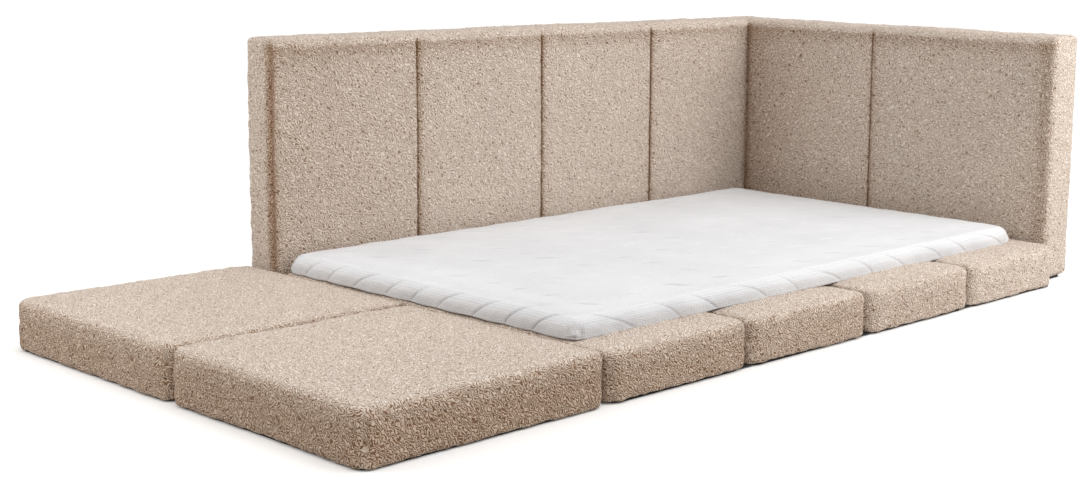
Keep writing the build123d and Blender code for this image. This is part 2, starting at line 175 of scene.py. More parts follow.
# The grip sheets under every pad and both walls: black cloth with rows of tiny rubber dots, which keep the
# bed from sliding. They are cut flat, so the CAD sheets stay, and so do the black tapes that hinge the pads.
class Paint:
    """One material's node tree while it is being wired up."""

    def __init__(self, name):
        self.material = bpy.data.materials.new(name)
        self.material.use_nodes = True
        self.nodes = self.material.node_tree.nodes
        self.links = self.material.node_tree.links
        self.shader = self.nodes["Principled BSDF"]
        self.place = self.nodes.new("ShaderNodeTexCoord").outputs["Object"]

    def node(self, kind, wires=None, **settings):
        """Adds a node. Wires link or fill its inputs by name or number; settings are its own properties."""
        node = self.nodes.new(kind)
        for key, value in settings.items():
            setattr(node, key, value)
        for key, value in (wires or {}).items():
            if isinstance(value, bpy.types.NodeSocket):
                self.links.new(value, node.inputs[key])
            else:
                node.inputs[key].default_value = value
        return node

    def maths(self, operation, *values):
        """A Math node's result."""
        return self.node("ShaderNodeMath", dict(enumerate(values)), operation=operation).outputs[0]

    def ramp(self, amount, *stops):
        """Colours or greys along an amount, each stop a place and a colour."""
        node = self.node("ShaderNodeValToRGB", {"Fac": amount})
        steps = node.color_ramp.elements
        while len(steps) < len(stops):
            steps.new(0.5)
        for step, (at, colour) in zip(steps, stops):
            step.position = at
            step.color = (*colour, 1)
        return node.outputs["Color"]

    def grain(self, scale, detail=2.0, roughness=0.5, place=None):
        """Cloudy noise, whose scale is in lumps to the metre."""
        wires = {"Vector": place or self.place, "Scale": scale, "Detail": detail, "Roughness": roughness}
        return self.node("ShaderNodeTexNoise", wires).outputs["Fac"]

    def times(self, colour, shade):
        """One colour multiplied by another."""
        wires = {0: 1.0, 6: colour, 7: shade}
        return self.node("ShaderNodeMix", wires, data_type="RGBA", blend_type="MULTIPLY").outputs[2]

    def relief(self, height, depth, strength=1.0, under=None):
        """Bumps of a real depth in metres, over an optional coarser relief."""
        wires = {"Height": height, "Distance": depth, "Strength": strength}
        if under is not None:
            wires["Normal"] = under
        return self.node("ShaderNodeBump", wires).outputs["Normal"]

    def finish(self, colour=None, normal=None, roughness=None):
        """Wires the results into the shader."""
        for socket, value in (("Base Color", colour), ("Normal", normal), ("Roughness", roughness)):
            if value is not None:
                self.links.new(value, self.shader.inputs[socket])
        return self.material


def linear(red, green, blue):
    """A colour given as it looks on a screen, 0 to 255, as the light it stands for."""
    values = (value / 255 for value in (red, green, blue))
    return tuple(v / 12.92 if v <= 0.04045 else ((v + 0.055) / 1.055) ** 2.4 for v in values)


def black_cloth(name, dots_per_metre):
    """Black woven cloth; with dots, the rubber ones printed on it."""
    paint = Paint(name)
    weave = paint.node("ShaderNodeTexWave", {"Vector": paint.place, "Scale": 180.0, "Distortion": 1.5})
    cloud = paint.grain(60.0, 3.0)
    colour = paint.ramp(cloud, (0.3, linear(16, 16, 17)), (0.7, linear(34, 34, 35)))
    height = paint.maths("MULTIPLY", weave.outputs["Fac"], 0.5)
    if dots_per_metre:
        wires = {"Vector": paint.place, "Scale": dots_per_metre, "Randomness": 0.0}
        dots = paint.node("ShaderNodeTexVoronoi", wires)
        near_dot = paint.maths("LESS_THAN", dots.outputs["Distance"], 0.28)
        height = paint.maths("ADD", height, near_dot)
    paint.shader.inputs["Roughness"].default_value = 0.85
    return paint.finish(colour, paint.relief(height, 0.0006))


grip_cloth = black_cloth("black_grip_cloth", 120.0)
tape_cloth = black_cloth("black_hinge_tape", 0)


def dress(material, slot, *words):
    """Gives every CAD node whose name holds one of the words this material."""
    for name, piece in nodes.items():
        if any(word in name for word in words):
            piece.data.materials.clear()
            piece.data.materials.append(material)


dress(grip_cloth, "grip_sheet", "underside")
dress(tape_cloth, "hinge_tape", "base_hinge", "hinge_tape")


# Behind the walls' foam: thin boards of birch plywood, one behind each panel, which keep the walls straight.
# The covers hold them and hide them, so the CAD boards stay and only their material is made here.
def board_paint():
    """Birch plywood: long grain along the board with fine pores."""
    paint = Paint("birch_board")
    stretched = paint.node("ShaderNodeMapping", {"Vector": paint.place, "Scale": (2.0, 2.0, 40.0)}).outputs[0]
    grain = paint.grain(4.0, 6.0, 0.6, stretched)
    colour = paint.ramp(grain, (0.35, linear(196, 160, 112)), (0.65, linear(224, 194, 150)))
    paint.shader.inputs["Roughness"].default_value = 0.55
    return paint.finish(colour, paint.relief(grain, 0.0005))


dress(board_paint(), "board_wood", "_board_")


# The closures that hold the walls to each other and to the base: strips and patches of hook tape on one side
# and of loop tape on the other, sewn on flat. Their pile is too fine to model, so it is in the material.
def closure_paint(name, dark, light, pile_per_metre, depth):
    """Brown-grey closure tape with upright hooks or a brushed loop pile."""
    paint = Paint(name)
    pile = paint.node("ShaderNodeTexVoronoi", {"Vector": paint.place, "Scale": pile_per_metre})
    colour = paint.ramp(pile.outputs["Distance"], (0.1, light), (0.6, dark))
    paint.shader.inputs["Roughness"].default_value = 0.8
    return paint.finish(colour, paint.relief(pile.outputs["Distance"], depth))


hook_paint = closure_paint("hook_tape", linear(58, 50, 44), linear(110, 98, 88), 700.0, 0.0012)
loop_paint = closure_paint("loop_tape", linear(70, 61, 53), linear(126, 113, 101), 380.0, 0.0016)
dress(hook_paint, "hook_tape", "corner_hook_strip", "wall_hook_patches")
dress(loop_paint, "loop_tape", "corner_loop_strip", "base_loop_patches")


# The walls' cover: one padded L of curly beige boucle. It is sewn into upright panels on its inner faces,
# each a little full between its seams, and its edges are rounded over foam.
def boucle_paint(name, tip, middle, gap_shade):
    """Curly pile: short worm-like curls a few millimetres apart, combed a little and swirling every way,
    light at their tips and brown between them, where the brown is painted shade among the curls.

    A per-point attribute browns the colour at seams, folds, corners and low on the sides: painted shade."""
    paint = Paint(name)
    strands = []
    for comb, lumps, turns in (((1.0, 1.0, 1.0), 84.0, 24.0), ((1.0, -1.0, 1.0), 98.0, 21.0)):
        wires = {0: paint.place, 1: comb}
        run = paint.node("ShaderNodeVectorMath", wires, operation="DOT_PRODUCT").outputs["Value"]
        swirl = paint.maths("MULTIPLY", paint.grain(lumps, 0.8, 0.5), turns)
        wave = paint.maths("SINE", paint.maths("MULTIPLY_ADD", run, 680.0, swirl))
        strands.append(paint.maths("MULTIPLY_ADD", wave, 0.5, 0.5))
    patch = paint.ramp(paint.grain(44.0, 1.0), (0.44, (0, 0, 0)), (0.56, (1, 1, 1)))
    wires = {0: patch, 2: strands[0], 3: strands[1]}
    combed = paint.node("ShaderNodeMix", wires, data_type="FLOAT").outputs[0]
    broken = paint.ramp(paint.grain(280.0, 1.0, 0.5), (0.34, (0.35, 0.35, 0.35)), (0.60, (1, 1, 1)))
    fuzz = paint.grain(800.0, 1.0, 0.5)
    curls = paint.maths("MULTIPLY", combed, broken)
    curls = paint.maths("ADD", curls, paint.maths("MULTIPLY_ADD", fuzz, 0.5, -0.2))
    # Painted shade: the attribute pushes the curls towards the brown and multiplies in a brown shade colour.
    seams_and_shade = paint.node("ShaderNodeAttribute", attribute_name="seams_and_shade").outputs["Fac"]
    lit = paint.maths("MULTIPLY_ADD", seams_and_shade, -0.26, curls)
    # The brown at the low end of the tone is painted shade between the curls.
    tone = paint.ramp(lit, (0.05, gap_shade), (0.30, middle), (0.86, tip))
    drift = paint.ramp(paint.grain(5.0, 3.0), (0.3, (0.95, 0.95, 0.95)), (0.7, (1.0, 1.0, 1.0)))
    shade = paint.ramp(seams_and_shade, (0.0, (1, 1, 1)), (1.0, (0.70, 0.56, 0.43)))
    colour = paint.times(paint.times(tone, drift), shade)
    paint.shader.inputs["Roughness"].default_value = 0.95
    paint.shader.inputs["Specular IOR Level"].default_value = 0.2
    paint.shader.inputs["Sheen Weight"].default_value = 0.15
    paint.shader.inputs["Sheen Roughness"].default_value = 0.6
    return paint.finish(colour, paint.relief(curls, 0.0022, 0.9))


# The last colour, a dark brown, is painted shade between the curls.
boucle = boucle_paint("beige_boucle", linear(244, 233, 222), linear(217, 200, 185), linear(130, 98, 68))


def box_lattice(count_x, count_y, count_z):
    """Grid places and outward quads over a closed box of so many cells each way."""
    across, along, up = np.meshgrid(
        np.arange(count_x + 1), np.arange(count_y + 1), np.arange(count_z + 1), indexing="ij"
    )
    skin = (across == 0) | (across == count_x) | (along == 0) | (along == count_y)
    skin |= (up == 0) | (up == count_z)
    number = np.full(skin.shape, -1)
    number[skin] = np.arange(skin.sum())
    quads = []
    for side, flip in ((0, True), (-1, False)):
        sheets = ((number[:, :, side], False), (number[:, side, :], True), (number[side, :, :], False))
        for sheet, inward in sheets:
            corners = [sheet[:-1, :-1], sheet[1:, :-1], sheet[1:, 1:], sheet[:-1, 1:]]
            if flip != inward:
                corners.reverse()
            quads.append(np.stack([c.ravel() for c in corners], 1))
    return across[skin], along[skin], up[skin], np.concatenate(quads)


def edge_profile(low, high, low_round, high_round, step):
    """Heights and insets of a side's rows: round the lower edge, up the side and round the upper edge."""
    lower = np.linspace(0, math.pi / 2, max(3, round(low_round * 1.6 / step) + 1))
    upper = np.linspace(0, math.pi / 2, max(4, round(high_round * 1.6 / step) + 1))
    rise = np.linspace(low + low_round, high - high_round, round((high - low) / step))[1:-1]
    heights = np.concatenate(
        [low + low_round * (1 - np.cos(lower)), rise, high - high_round + high_round * np.sin(upper)]
    )
    insets = np.concatenate(
        [low_round * (1 - np.sin(lower)), np.zeros(len(rise)), high_round * (1 - np.cos(upper))]
    )
    return heights, insets


def round_in_plan(x, y, half_x, half_y, inset, corner, ease=(1, 1, 1, 1)):
    """Draws box points in by an inset and rounds the upright corners. The box is centred on zero.

    The ease is the share of the inset on each side: left, right, front and back."""
    room_x = half_x - inset * np.where(x < 0, ease[0], ease[1])
    room_y = half_y - inset * np.where(y < 0, ease[2], ease[3])
    x = x * room_x / half_x
    y = y * room_y / half_y
    radius = np.maximum(corner - inset, 1e-5)
    middle_x = np.clip(x, radius - room_x, room_x - radius)
    middle_y = np.clip(y, radius - room_y, room_y - radius)
    off_x, off_y = x - middle_x, y - middle_y
    length = np.hypot(off_x, off_y)
    pull = np.where(length > 0, np.maximum(abs(off_x), abs(off_y)) / np.maximum(length, 1e-12), 1)
    return middle_x + off_x * pull, middle_y + off_y * pull


def make_piece(name, points, quads, material, seams_and_shade=None):
    """A smooth mesh object at the origin, with its seam-and-shade attribute, painted shade, where it is
    given.
    """
    mesh = bpy.data.meshes.new(name)
    mesh.from_pydata(points.tolist(), [], quads.tolist())
    mesh.polygons.foreach_set("use_smooth", np.ones(len(mesh.polygons), bool))
    if seams_and_shade is not None:
        mesh.attributes.new("seams_and_shade", "FLOAT", "POINT").data.foreach_set("value", seams_and_shade.astype(np.float32))
    mesh.materials.append(material)
    mesh.update()
    piece = bpy.data.objects.new(name, mesh)
    scene.collection.objects.link(piece)
    return piece


def read_points(mesh, what="co"):
    """A mesh's points or normals as an array."""
    values = np.empty(len(mesh.vertices) * 3)
    mesh.vertices.foreach_get(what, values)
    return values.reshape(-1, 3)


def set_points(mesh, points):
    """Puts an array of points back into its mesh."""
    mesh.vertices.foreach_set("co", points.ravel())
    mesh.update()


def ruffle(piece, *waves, calm=0.0):
    """Moves each point along its normal by noise. A wave is its length, its depth and its own place. Where
    calm is 1 nothing moves."""
    points = read_points(piece.data)
    push = np.zeros(len(points))
    for length, depth, place in waves:
        spots = (points / length + place).tolist()
        push += depth * np.array([noise.noise(spot) for spot in spots])
    set_points(piece.data, points + read_points(piece.data, "normal") * (push * (1 - calm))[:, None])


SHEET_MARGIN, SHEET_CLEAR = 0.002, 0.0003


def rest_on_sheets(piece, level, *sheets):
    """Flattens a piece's underside on its grip sheets, and keeps the rest of it above a level."""
    points = read_points(piece.data)
    points[:, 2] = np.maximum(points[:, 2], level)
    for sheet in sheets:
        low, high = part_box(sheet)
        over = (points[:, 0] > low.x - SHEET_MARGIN) & (points[:, 0] < high.x + SHEET_MARGIN)
        over &= (points[:, 1] > low.y - SHEET_MARGIN) & (points[:, 1] < high.y + SHEET_MARGIN)
        points[over, 2] = np.maximum(points[over, 2], high.z + SHEET_CLEAR)
    set_points(piece.data, points)


long_low, long_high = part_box("long_wall_cover")
short_low, short_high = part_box("short_wall_cover")
WALL_THICKNESS = long_high.y - long_low.y
WALL_TOP, WALL_FOOT = long_high.z, long_low.z
WALL_EDGE, WALL_FOOT_ROUND, TOP_ROLL = 0.019, 0.022, 0.013
corner_x, corner_y = short_low.x, long_low.y
long_length, short_length = corner_x - long_low.x, corner_y - short_low.y
PANEL_BOW, SEAM_DEPTH, SEAM_HALF, PANEL_WIDTH, SHORT_PANEL = 0.006, 0.0065, 0.009, 0.520, 0.565
ZIP_SLOT_DEPTH, ZIP_SLOT_LIP, ZIP_SLOT_ENDS, ZIP_ROW_CLEAR = 0.0068, 0.0015, 0.006, 0.0025
LONG_SEAMS = [long_length - 0.004 - PANEL_WIDTH * k for k in (3, 2, 1)]
SHORT_SEAMS = [long_length + SHORT_PANEL]
wall_run = long_length + short_length

# Places along both walls, through them and up them: even steps, finer beside each seam and round each edge.
WALL_CELL, SEAM_CLEAR = 0.010, 0.018
BESIDE_SEAM = np.array((-0.016, -0.011, -0.008, -0.005, -0.0025, 0, 0.0025, 0.005, 0.008, 0.011, 0.016))
even = np.linspace(0, wall_run, round(wall_run / WALL_CELL) + 1)
fine = []
for seam in LONG_SEAMS + [long_length] + SHORT_SEAMS:
    even = even[abs(even - seam) > SEAM_CLEAR]
    fine.append(seam + BESIDE_SEAM)
spread = np.unique(np.round(np.concatenate([even, *fine]), 6))
spread = spread[(spread > WALL_EDGE) & (spread < wall_run - WALL_EDGE)]
edge_arc = WALL_EDGE * (1 - np.cos(np.linspace(0, math.pi / 2, 6)))[:-1]
wall_stations = np.unique(np.concatenate([edge_arc, spread, wall_run - edge_arc]))
through = np.linspace(WALL_EDGE, WALL_THICKNESS - WALL_EDGE, 10)
wall_depths = np.concatenate([edge_arc, through, WALL_THICKNESS - edge_arc[::-1]])
wall_heights, wall_insets = edge_profile(WALL_FOOT, WALL_TOP, WALL_FOOT_ROUND, WALL_EDGE, WALL_CELL)
zip_low, zip_high = (corner.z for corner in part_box("long_wall_zip"))
slot_rows = [level + lip for level in (zip_low, zip_high) for lip in (-ZIP_SLOT_LIP, 0, ZIP_SLOT_LIP)]
from_slot = [min(abs(row - level) for level in slot_rows) for row in wall_heights]
kept_rows = [n for n, away in enumerate(from_slot) if away > ZIP_ROW_CLEAR]
all_rows = np.concatenate([wall_heights[kept_rows], slot_rows])
all_insets = np.concatenate([wall_insets[kept_rows], np.interp(slot_rows, wall_heights, wall_insets)])
wall_heights, wall_insets = np.sort(all_rows), all_insets[np.argsort(all_rows)]
wall_cells = (len(places) - 1 for places in (wall_stations, wall_depths, wall_heights))
at_s, at_v, at_z, wall_quads = box_lattice(*wall_cells)
run, depth = round_in_plan(
    wall_stations[at_s] - wall_run / 2,
    wall_depths[at_v] - WALL_THICKNESS / 2,
    wall_run / 2,
    WALL_THICKNESS / 2,
    wall_insets[at_z],
    WALL_EDGE,
)
run += wall_run / 2
depth += WALL_THICKNESS / 2
height = wall_heights[at_z]

# The panels bow a little between their seams, and each seam is a narrow groove. Both fade out towards the
# back and the rounded top.
inner = np.clip(1 - depth / (0.6 * WALL_THICKNESS), 0, 1)
fade = np.clip((WALL_TOP - height) / WALL_EDGE, 0, 1) ** 0.7
edges = [0.0] + LONG_SEAMS + [long_length] + SHORT_SEAMS + [wall_run]
bow = np.zeros(len(run))
for start, stop in zip(edges, edges[1:]):
    here = (run >= start) & (run <= stop)
    share = (run[here] - start) / (stop - start)
    bow[here] = PANEL_BOW * (1 - (4 * share * (1 - share)) ** 0.35)
# Painted shade: a dark line on each seam, and shade spreading from it over the next panel.
groove, seams_and_shade = np.zeros(len(run)), np.zeros(len(run))
for seam in LONG_SEAMS + SHORT_SEAMS:
    away = (run - seam) / SEAM_HALF
    groove += SEAM_DEPTH * np.exp(-np.abs(away) * 2.2)
    seams_and_shade += 0.9 * np.exp(-(((run - seam) / 0.004) ** 2)) + 0.45 * np.exp(-np.abs(away - 0.8) * 0.9)
seams_and_shade = np.clip(seams_and_shade, 0, 1) * inner * fade

# A seam runs down the open end of the long wall, near its inner edge, in a soft valley.
# The end is drawn in a little, so that the folded pad clears it.
END_SEAM, END_VALLEY, END_HALF, END_ROOM, END_REACH = 0.027, 0.010, 0.016, 0.0035, 0.030
at_end = np.clip(1 - run / END_REACH, 0, 1)
below_top = np.clip((WALL_TOP - height) / END_REACH, 0, 1)
valley = at_end * below_top * np.exp(-(((depth - END_SEAM) / END_HALF) ** 2))
run += END_VALLEY * valley + END_ROOM * at_end
# Painted shade browns the valley down the wall's end.
seams_and_shade = np.maximum(seams_and_shade, np.clip(valley * 1.6, 0, 1))
depth += (bow + groove) * inner * fade

# Each station turns round the corner on a mitre.
on_long = run <= long_length
slide = np.clip(np.where(on_long, run / long_length, (wall_run - run) / short_length), 0, 1)
along_long = run + depth * slide
along_short = (run - long_length) - depth * slide
wall_x = np.where(on_long, long_low.x + along_long, corner_x + depth)
wall_y = np.where(on_long, corner_y + depth, corner_y - along_short)
outer_x, outer_y = short_high.x - WALL_EDGE, long_high.y - WALL_EDGE
off_x, off_y = np.maximum(wall_x - outer_x, 0), np.maximum(wall_y - outer_y, 0)
length = np.hypot(off_x, off_y)
pull = np.where(length > 0, np.maximum(off_x, off_y) / np.maximum(length, 1e-12), 1)
wall_x = np.where((off_x > 0) & (off_y > 0), outer_x + off_x * pull, wall_x)
wall_y = np.where((off_x > 0) & (off_y > 0), outer_y + off_y * pull, wall_y)

# The inner top edge rolls over. Painted shade browns the panels' faces under the top edge, beside the walls'
# ends and down the inner corner.
from_top = WALL_TOP - height
near_top = 0.30 * np.exp(-((np.maximum(from_top - 0.020, 0) / 0.035) ** 2)) * (from_top > 0.012)
height = height - TOP_ROLL * np.exp(-((depth / 0.022) ** 2)) * np.clip((0.12 - from_top) / 0.12, 0, 1)
corner_line = np.clip(1 - np.abs(run - long_length) / 0.030, 0, 1) ** 2
face = np.clip(1 - (depth - 0.004) / 0.020, 0, 1)
near_side = 0.32 * np.exp(-(((wall_run - run - 0.030) / 0.028) ** 2))
near_side = near_side + 0.10 * np.exp(-(((run - 0.10) / 0.45) ** 2))
near_corner = 0.45 * np.exp(-((run - long_length) / 0.16)) * (run > long_length)
seams_and_shade = np.clip(seams_and_shade + (near_top + near_side + near_corner + 0.8 * corner_line * fade) * face, 0, 1)

# The backs keep a slot for each zip, whose tape lies on its floor.
in_slot = np.zeros(len(run))
in_rows = (height > zip_low - 0.0001) & (height < zip_high + 0.0001)
for node, axis, along, across, outer in (
    ("long_wall_zip", 0, wall_x, wall_y, long_high.y),
    ("short_wall_zip", 1, wall_y, wall_x, short_high.x),
):
    start, stop = (corner[axis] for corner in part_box(node))
    held = in_rows & (across > outer - 0.004)
    held &= (along > start - ZIP_SLOT_ENDS) & (along < stop + ZIP_SLOT_ENDS)
    across[held] = outer - ZIP_SLOT_DEPTH
    near = (across > outer - 0.010) & (abs(height - (zip_low + zip_high) / 2) < 0.016)
    in_slot[near & (along > start - 0.02) & (along < stop + 0.02)] = 1
wall_cover = make_piece("wall_cover", np.stack([wall_x, wall_y, height], 1), wall_quads, boucle, seams_and_shade)
ruffle(wall_cover, (0.30, 0.0030, 3.1), (0.045, 0.0016, 7.7), (0.016, 0.0022, 1.3), calm=in_slot)
rest_on_sheets(wall_cover, 0.002, "long_wall_underside", "short_wall_underside")
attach(wall_cover, "base_and_walls")
wall_foams = [name for name in nodes if "_wall_foam_" in name]
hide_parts("long_wall_cover", "short_wall_cover", *wall_foams)


# The pads: four for the base and two that fold up beside it, each a full, soft-edged block of foam in the
# same boucle. The cover is blown up as cloth and pulled back by its foam, so its sides swell between corners.
BLOW_PRESSURE, BLOW_FRAMES = 4.0, 20


def puff(pieces, reach):
    """Blows closed covers up as cloth, all at once. No point ends further than the reach from its start, or
    lower than the cover's foot was."""
    for piece in pieces:
        cloth = piece.modifiers.new("cover_cloth", "CLOTH").settings
        cloth.use_pressure = True
        cloth.uniform_pressure_force = BLOW_PRESSURE
        cloth.effector_weights.gravity = 0.0
    for number in range(1, BLOW_FRAMES + 1):
        scene.frame_set(number)
    graph = bpy.context.evaluated_depsgraph_get()
    blown = [read_points(piece.evaluated_get(graph).data) for piece in pieces]
    for piece, after in zip(pieces, blown):
        piece.modifiers.clear()
        before = read_points(piece.data)
        move = after - before
        far = np.maximum(np.linalg.norm(move, axis=1), 1e-9)[:, None]
        after = before + move * reach * np.tanh(far / reach) / far
        after[:, 2] = np.maximum(after[:, 2], before[:, 2].min())
        set_points(piece.data, after)
    scene.frame_set(1)


def refine(piece):
    """One round of subdivision, applied."""
    piece.modifiers.new("finer", "SUBSURF").levels = 1
    graph = bpy.context.evaluated_depsgraph_get()
    finer = bpy.data.meshes.new_from_object(piece.evaluated_get(graph))
    piece.modifiers.clear()
    old = piece.data
    piece.data = finer
    bpy.data.meshes.remove(old)
    finer.name = piece.name


CUT_BACK, CUT_BACK_TOP = 0.7, 0.4
PAD_CORNER, PAD_TOP_EDGE, PAD_FOOT_EDGE, PAD_CELL = 0.044, 0.022, 0.009, 0.017
PAD_REACH, PRESSED_IN, TOP_HELD, FOLD_ROOM, FOLD_SLOPE = 0.006, 0.001, 0.005, 0.0035, 0.07
BASE_FOOT_DROP, SIDE_FOOT_DROP = 0.0015, 0.0035


def pad_cover(node, name, crown, ease, side_shade, outer_corner):
    """A pad's cover, cut a little smaller than the place of its CAD solid. Sides that press on another pad or
    a wall are rounded less, by their ease. Its sides are browned by painted shade so far, most low down, at
    the top rim and round the upright corners, and its front right corner is as round as given."""
    low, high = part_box(node)
    tight = PAD_REACH * CUT_BACK
    half_x = (high.x - low.x) / 2 - (tight if crown else PRESSED_IN)
    half_y = (high.y - low.y) / 2 - tight
    foot, top = low.z - (SIDE_FOOT_DROP if crown else BASE_FOOT_DROP), high.z - crown - tight * CUT_BACK_TOP
    heights, insets = edge_profile(foot, top, PAD_FOOT_EDGE, PAD_TOP_EDGE, PAD_CELL * 0.8)
    count_x, count_y = round(2 * half_x / PAD_CELL), round(2 * half_y / PAD_CELL)
    i, j, k, quads = box_lattice(count_x, count_y, len(heights) - 1)
    x, y = -half_x + 2 * half_x * i / count_x, -half_y + 2 * half_y * j / count_y
    corner = np.where((x > 0) & (y < 0), outer_corner, PAD_CORNER)
    x, y = round_in_plan(x, y, half_x, half_y, insets[k], corner, ease)
    z = heights[k]
    full = np.clip((1 - (x / half_x) ** 8) * (1 - (y / half_y) ** 8), 0, 1)
    z = z + crown * full * np.clip((z - foot) / (top - foot), 0, 1) ** 3
    # Painted shade on the sides: darker low down, along the top rim and round the upright corners.
    side = np.clip(1 - np.minimum(half_x - abs(x), half_y - abs(y)) / 0.022, 0, 1)
    low_down = np.clip((top - 0.004 - z) / 0.05, 0, 1)
    rim = np.exp(-(((z - (top - 0.016)) / 0.010) ** 2))
    turned = np.exp(-(((np.hypot(half_x - abs(x), half_y - abs(y)) - 0.012) / 0.020) ** 2))
    seams_and_shade = np.clip(side_shade * side * (0.16 + 0.42 * low_down + 0.20 * rim + 0.30 * turned), 0, 1)
    middle = (low + high) / 2
    points = np.stack([x + middle.x, y + middle.y, z], 1)
    return make_piece(name, points, quads, boucle, seams_and_shade)


def finish_pad(piece, node, body, seed):
    """Fits the blown cover back into its place, lays the pile over it and puts it in the bed."""
    low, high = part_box(node)
    points = read_points(piece.data)
    for axis in (0, 1):
        least, most = points[:, axis].min(), points[:, axis].max()
        share = (points[:, axis] - least) / (most - least)
        points[:, axis] = low[axis] + PRESSED_IN + share * (high[axis] - low[axis] - 2 * PRESSED_IN)
    set_points(piece.data, points)
    refine(piece)
    ruffle(piece, (0.24, 0.0034, seed), (0.055, 0.0018, seed + 5), (0.019, 0.0028, seed + 9))
    hinges = [name for name in nodes if name.startswith("base_hinge_")]
    if body != "base_and_walls":
        hinges = []
        # Folded up, the top has to clear the end of the long wall, so it stays lower next to the fold.
        points = read_points(piece.data)
        fold_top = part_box("base_cover_1")[1].z + FOLD_ROOM + FOLD_SLOPE * (high.x - points[:, 0])
        over = np.maximum(points[:, 2] - (np.minimum(high.z, fold_top) - TOP_HELD), 0)
        points[:, 2] += TOP_HELD * np.tanh(over / TOP_HELD) - over
        set_points(piece.data, points)
    rest_on_sheets(piece, 0.001, node.replace("cover", "underside"), *hinges)
    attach(piece, body)
    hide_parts(node, node.replace("cover", "foam"))


BASE_EASE, NEAR_EASE, FAR_EASE = (0.45, 0.45, 1, 0.45), (1, 0.35, 1, 0.45), (1, 0.35, 0.45, 1)
SIDE_CROWN, FRONT_CORNER = 0.004, 0.085

# Each pad: its CAD node, name, body, crown, the ease of its sides, how much painted shade browns its sides
# (less towards the right) and its corner.
PADS = [
    ("base_cover_1", "base_pad_1", "base_and_walls", 0.0, BASE_EASE, 0.95, PAD_CORNER),
    ("base_cover_2", "base_pad_2", "base_and_walls", 0.0, BASE_EASE, 0.75, PAD_CORNER),
    ("base_cover_3", "base_pad_3", "base_and_walls", 0.0, BASE_EASE, 0.40, PAD_CORNER),
    ("base_cover_4", "base_pad_4", "base_and_walls", 0.0, BASE_EASE, 0.15, FRONT_CORNER),
    ("side_pad_near_cover", "side_pad_near", "side_pad_near", SIDE_CROWN, NEAR_EASE, 1.15, PAD_CORNER),
    ("side_pad_far_cover", "side_pad_far", "side_pad_far", SIDE_CROWN, FAR_EASE, 1.05, PAD_CORNER),
]
pads = [pad_cover(node, name, *shape) for node, name, body, *shape in PADS]


# Where a folding pad meets the first base pad their tops are sewn together by a strip of the same boucle,
# sunk into the valley between them. It keeps hold of both pads.
JOINT_X = (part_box("side_pad_near_cover")[1].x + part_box("base_cover_1")[0].x) / 2
HALF_STRIP = [(0.008, 0.0030), (0.014, 0.0020), (0.020, 0.0035)]
STRIP_STEPS = [(-across, sunk) for across, sunk in reversed(HALF_STRIP)] + [(0.0, 0.0060)] + HALF_STRIP
STRIP_THICKNESS, STRIP_CELL, STRIP_HOLD, STRIP_LOOK = 0.0015, 0.012, 0.008, 0.014


def top_of(piece):
    """A look-up of the height of a piece's top at a place."""
    tree = BVHTree.FromPolygons(
        [vertex.co for vertex in piece.data.vertices], [polygon.vertices for polygon in piece.data.polygons]
    )
    return lambda x, y: tree.ray_cast((x, y, 0.5), (0, 0, -1))[0].z


def joint_strip(side, pad, base_pad):
    """The strip over one folding pad's joint."""
    tape_low, tape_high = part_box(f"side_pad_{side}_hinge_tape")
    steps = round((tape_high.y - tape_low.y) / STRIP_CELL)
    pad_top, base_top = top_of(pad), top_of(base_pad)
    i, j, k, quads = box_lattice(len(STRIP_STEPS) - 1, steps, 1)
    y = tape_low.y + (tape_high.y - tape_low.y) * j / steps
    rows = {}
    for number in range(steps + 1):
        at = tape_low.y + (tape_high.y - tape_low.y) * number / steps
        for column, (across, sunk) in enumerate(STRIP_STEPS):
            reach = max(abs(across), STRIP_LOOK)
            left, right = pad_top(JOINT_X - reach, at), base_top(JOINT_X + reach, at)
            level = left if across < 0 else right if across > 0 else min(left, right)
            rows[column, number] = level - sunk
    top = np.array([rows[column, number] for column, number in zip(i, j)])
    across = np.array([step[0] for step in STRIP_STEPS])[i]
    points = np.stack([JOINT_X + across, y, top - STRIP_THICKNESS * (1 - k)], 1)
    # Painted shade, darkest down the middle of the valley.
    valley = 0.6 * np.exp(-((across / 0.008) ** 2))
    strip = make_piece(f"joint_strip_{side}", points, quads, boucle, valley)
    refine(strip)
    ruffle(strip, (0.019, 0.0012, 2.2))
    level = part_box("base_cover_1")[1].z
    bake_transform(strip)


# The mattress: a low white one in quilted knit with bulging rounded sides. The quilting runs slantwise over
# its edges in furrows, goes on over the top as rows of short tucks, and gathers in a pucker at each corner.
def knit_paint():
    """White knit with a fine dotted mesh, greyed by painted shade in the quilting and low on the front side.
    """
    paint = Paint("white_quilted_knit")
    dots = paint.node("ShaderNodeTexVoronoi", {"Vector": paint.place, "Scale": 170.0, "Randomness": 0.25})
    # Painted shade: the attribute pulls the colour down towards the shade grey in furrows and tucks and low
    # on the front.
    furrow = paint.node("ShaderNodeAttribute", attribute_name="seams_and_shade").outputs["Fac"]
    drift = paint.maths("MULTIPLY_ADD", furrow, -0.8, paint.grain(4.0, 3.0))
    shade_grey, pale, white = linear(198, 199, 202), linear(225, 226, 228), linear(231, 232, 234)
    colour = paint.ramp(drift, (0.0, shade_grey), (0.35, pale), (0.7, white))
    paint.shader.inputs["Roughness"].default_value = 0.85
    paint.shader.inputs["Sheen Weight"].default_value = 0.1
    soft = paint.relief(paint.grain(26.0, 2.0), 0.002, 0.4)
    weave = paint.ramp(dots.outputs["Distance"], (0.25, (1, 1, 1)), (0.6, (0.87, 0.87, 0.88)))
    mesh_holes = paint.relief(dots.outputs["Distance"], -0.0018, 0.9, soft)
    return paint.finish(paint.times(colour, weave), mesh_holes)


